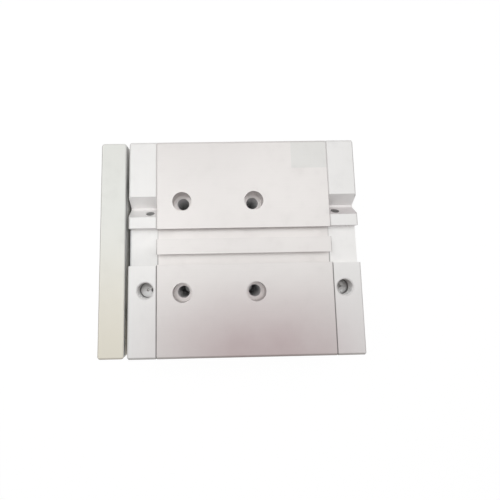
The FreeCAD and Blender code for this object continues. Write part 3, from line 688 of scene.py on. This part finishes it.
class DressDrive(bpy.types.Operator):
    """Finish the rods, the piston and the bushes"""
    bl_idname = "cylinder.dress_drive"
    bl_label = "Finish the drive"

    def execute(self, context):
        colours = context.scene.cylinder_colours
        dress(["piston_rod", "guide_rod_left", "guide_rod_right"],
              chromed("rod_chrome", tuple(colours.chrome)))
        dress(["piston_front_half", "piston_rear_half", "cushion_sleeve", "cushion_nut"],
              turned_metal("piston_turned", tuple(colours.turned), 0.3, metal=1.0))
        dress(nodes_like("bush"), sintered("bush_sintered", tuple(colours.bronze)))
        dress(["piston_magnet"], moulded("magnet_bonded", tuple(colours.magnet), 0.5))
        dress(["piston_guide_ring"], moulded("slide_ring_plastic", tuple(colours.slide_ring), 0.45))
        return {"FINISHED"}


class DressSmallParts(bpy.types.Operator):
    """Finish the screws, the plugs and the seals"""
    bl_idname = "cylinder.dress_small_parts"
    bl_label = "Finish the small parts"

    def execute(self, context):
        colours = context.scene.cylinder_colours
        zinc = plated("screw_zinc", tuple(colours.zinc))
        dress(nodes_like("screw", "plug", leave=("cushion",)), zinc)
        dress(["cushion_screw_front", "cushion_screw_rear"],
              turned_metal("needle_oxide", tuple(colours.oxide), 0.5, metal=0.4))
        rings = nodes_like("seal", "wiper", "ring", leave=("bearing_cap", "piston_guide_ring"))
        dress(rings, moulded("seal_rubber", tuple(colours.rubber), 0.55))
        return {"FINISHED"}


def linked(name, data):
    """New object in the scene."""
    piece = bpy.data.objects.new(name, data)
    bpy.context.scene.collection.objects.link(piece)
    return piece


def thread(name, mouth, inward, radius, length, pitch, height):
    """Helical ridge on the wall of a hole, from its mouth's centre inwards."""
    bm = bmesh.new()
    half = pitch * THREAD_HALF_WIDTH
    profile = [bm.verts.new((radius * THREAD_ROOT, 0, -half)), bm.verts.new((radius - height, 0, 0)),
               bm.verts.new((radius * THREAD_ROOT, 0, half))]
    face = bm.faces.new(profile)
    turns = (length - 2 * half) / pitch
    steps = round(turns * THREAD_STEPS)
    bmesh.ops.spin(bm, geom=[face] + list(face.edges) + profile, cent=(0, 0, 0), axis=(0, 0, 1),
                   dvec=(0, 0, turns * pitch / steps), angle=turns * math.tau, steps=steps,
                   use_merge=False)
    bmesh.ops.remove_doubles(bm, verts=bm.verts, dist=THREAD_WELD)
    bmesh.ops.recalc_face_normals(bm, faces=bm.faces)
    mesh = bpy.data.meshes.new(name)
    bm.to_mesh(mesh)
    bm.free()
    turn = Vector(inward).to_track_quat("Z", "Y").to_matrix().to_4x4()
    mesh.transform(Matrix.Translation(Vector(mouth) + Vector(inward) * half) @ turn)
    mesh.shade_smooth()
    return linked(name, mesh)


class CutThreads(bpy.types.Operator):
    """Cut the threads of the supply ports, the yoke plate and the mounting holes"""
    bl_idname = "cylinder.cut_threads"
    bl_label = "Cut the threads"

    def execute(self, context):
        sizes = context.scene.cylinder_sizes
        self.ports(sizes)
        self.yoke(sizes)
        self.mounting_holes(sizes)
        return {"FINISHED"}

    def ports(self, sizes):
        height = sizes.port_pitch * sizes.thread_share
        for end, joint, side in (("front", HOUSING_HIGH.x, 1), ("rear", HOUSING_LOW.x, -1)):
            mouth = (joint + side * PORT_FROM_JOINT, PORT_Y, TOP - PORT_CHAMFER)
            piece = thread("port_thread_" + end, mouth, (0, 0, -1), PORT_RADIUS,
                           PORT_DEPTH - PORT_CHAMFER - PORT_RELIEF, sizes.port_pitch, height)
            self.hang(piece, "housing", "bearing_cap" if side > 0 else "end_cap")

    def yoke(self, sizes):
        height = sizes.yoke_pitch * sizes.thread_share
        middle = (YOKE_LOW.z + YOKE_HIGH.z) / 2
        rows = (("inner", YOKE_INNER_Y, YOKE_CENTRING), ("outer", YOKE_OUTER_Y, 0.0))
        for row, across, recess in rows:
            start = YOKE_HIGH.x - recess - HOLE_EDGE
            for number, (sy, sz) in enumerate(FOUR_CORNERS, start=1):
                mouth = (start, sy * across, middle + sz * YOKE_RISE)
                piece = thread("yoke_thread_%s_%d" % (row, number), mouth, (-1, 0, 0),
                               YOKE_THREAD_RADIUS, start - YOKE_LOW.x - HOLE_EDGE, sizes.yoke_pitch,
                               height)
                self.hang(piece, "yoke_plate", "yoke_plate")

    def mounting_holes(self, sizes):
        height = sizes.body_pitch * sizes.thread_share
        for number, (sx, sy) in enumerate(FOUR_CORNERS, start=1):
            mouth = (sx * HOLE_X, sy * HOLE_Y, HOUSING_LOW.z + CENTRING_DEPTH + HOLE_EDGE)
            piece = thread("mounting_thread_%d" % number, mouth, (0, 0, 1), HOLE_RADIUS,
                           sizes.body_thread_length, sizes.body_pitch, height)
            self.hang(piece, "housing", "housing")

    def hang(self, piece, node, finish_of):
        """Finish a thread as its hole's wall and let it ride on the node's body."""
        piece.data.materials.append(NODES[finish_of].material_slots[0].material)
        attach(piece, BODY_OF[node])


def background_rays(tree):
    """1 for the rays that show the background: from the camera, off metal or through glass."""
    path = add_node(tree, "ShaderNodeLightPath")
    camera, glossy, clear = (Number(tree, path.outputs[name])
                             for name in ("Is Camera Ray", "Is Glossy Ray", "Is Transmission Ray"))
    return (camera + glossy + clear).least(1.0)


def area_lamp(name, place, aim, size, power, colour):
    """Lamp that shines from a rectangle at a place towards its aim."""
    light = bpy.data.lights.new(name, "AREA")
    light.shape = "RECTANGLE"
    light.size, light.size_y = size
    light.energy = power
    light.color = colour
    lamp = linked(name, light)
    lamp.location = place
    lamp.rotation_euler = (Vector(aim) - Vector(place)).to_track_quat("-Z", "Y").to_euler()


class SetStage(bpy.types.Operator):
    """Lay the object on a white table under soft light and look down at it"""
    bl_idname = "cylinder.set_stage"
    bl_label = "Set the stage"

    def execute(self, context):
        stage = context.scene.cylinder_stage
        self.table(stage)
        self.world(stage)
        for name, place, size in LAMPS:
            area_lamp(name + "_lamp", place, (0.0, 0.0, TOP), size, getattr(stage, name + "_power"),
                      tuple(stage.lamp_colour))
        self.camera(stage)
        return {"FINISHED"}

    def table(self, stage):
        mesh = bpy.data.meshes.new("table")
        bm = bmesh.new()
        bmesh.ops.create_grid(bm, x_segments=1, y_segments=1, size=stage.floor_size / 2)
        bm.to_mesh(mesh)
        bm.free()
        mesh.transform(Matrix.Translation((0, 0, CAD_BOX[0][2] - TABLE_DROP)))
        table = linked("table", mesh)
        finish = Finish("table_white")
        paper = finish.noise(900.0, 2.0)
        finish.finish(Base_Color=finish.mixed(paper, *TABLE_PAPER), Roughness=0.9)
        glow = finish.add("ShaderNodeEmission", inputs={"Color": WHITE, "Strength": TABLE_GLOW})
        low, high = CAD_BOX
        centre = (low + high) / 2
        reach = (high - low) / 2
        # Under the object's footprint the glow drops to a painted shadow.
        beside = (abs(finish.x - centre.x) - reach.x).most(abs(finish.y - centre.y) - reach.y)
        share = beside.ramp(-4 * MM, -1 * MM) * GLOW_BESIDE + GLOW_IN_PAINTED_SHADOW
        seen = background_rays(finish.tree) * share
        mix = finish.add("ShaderNodeMixShader",
                         inputs={0: seen, 1: finish.shader.outputs[0], 2: glow.outputs[0]})
        give(finish.tree, finish.tree.nodes["Material Output"].inputs["Surface"], mix.outputs[0])
        mesh.materials.append(finish.material)

    def world(self, stage):
        world = bpy.data.worlds.new("room")
        bpy.context.scene.world = world
        world.use_nodes = True
        tree = world.node_tree
        background = tree.nodes["Background"]
        seen = background_rays(tree)
        strength = seen * (1.0 - stage.room_strength) + stage.room_strength
        mix = add_node(tree, "ShaderNodeMix", {"data_type": "RGBA"},
                       {MIX_AMOUNT: seen, MIX_FIRST: (*stage.room_colour, 1.0), MIX_SECOND: WHITE})
        give(tree, background.inputs["Strength"], strength)
        give(tree, background.inputs["Color"], mix.outputs[MIX_RESULT])

    def camera(self, stage):
        data = bpy.data.cameras.new("photo_camera")
        data.sensor_width = FRAME_WIDTH
        data.lens = stage.lens
        data.shift_x = stage.shift_x
        data.shift_y = stage.shift_y
        data.clip_start = CLIP_START
        camera = linked("photo_camera", data)
        place = Vector(stage.camera_place)
        forward = (Vector(stage.camera_aim) - place).normalized()
        right = forward.cross(Vector((0, -1, 0))).normalized()
        right = Matrix.Rotation(stage.camera_roll, 3, forward) @ right
        up = right.cross(forward)
        turn = Matrix((right, up, -forward)).transposed()
        camera.matrix_world = Matrix.Translation(place) @ turn.to_4x4()
        bpy.context.scene.camera = camera


class CylinderPanel(bpy.types.Panel):
    """Sidebar panel with the steps and their values"""
    bl_idname = "VIEW3D_PT_guided_cylinder"
    bl_label = "Guided cylinder"
    bl_space_type = "VIEW_3D"
    bl_region_type = "UI"
    bl_category = "Cylinder"

    def draw(self, context):
        for step in STEPS:
            self.layout.operator(step.bl_idname)
        scene = context.scene
        for group in (scene.cylinder_sizes, scene.cylinder_colours, scene.cylinder_stage):
            box = self.layout.box()
            for key in group.bl_rna.properties.keys():
                if key not in ("rna_type", "name"):
                    box.prop(group, key)


STEPS = (DressBody, DressDrive, DressSmallParts, CutThreads, SetStage)
CLASSES = (CylinderSizes, CylinderColours, CylinderStage) + STEPS + (CylinderPanel,)


def register():
    for cls in CLASSES:
        bpy.utils.register_class(cls)
    bpy.types.Scene.cylinder_sizes = bpy.props.PointerProperty(type=CylinderSizes)
    bpy.types.Scene.cylinder_colours = bpy.props.PointerProperty(type=CylinderColours)
    bpy.types.Scene.cylinder_stage = bpy.props.PointerProperty(type=CylinderStage)


def unregister():
    del bpy.types.Scene.cylinder_stage
    del bpy.types.Scene.cylinder_colours
    del bpy.types.Scene.cylinder_sizes
    for cls in reversed(CLASSES):
        bpy.utils.unregister_class(cls)


def main():
    register()
    bpy.context.scene.view_settings.view_transform = "Standard"
    for step in STEPS:
        family, action = step.bl_idname.split(".")
        getattr(getattr(bpy.ops, family), action)()


if __name__ == "__main__":
    main()
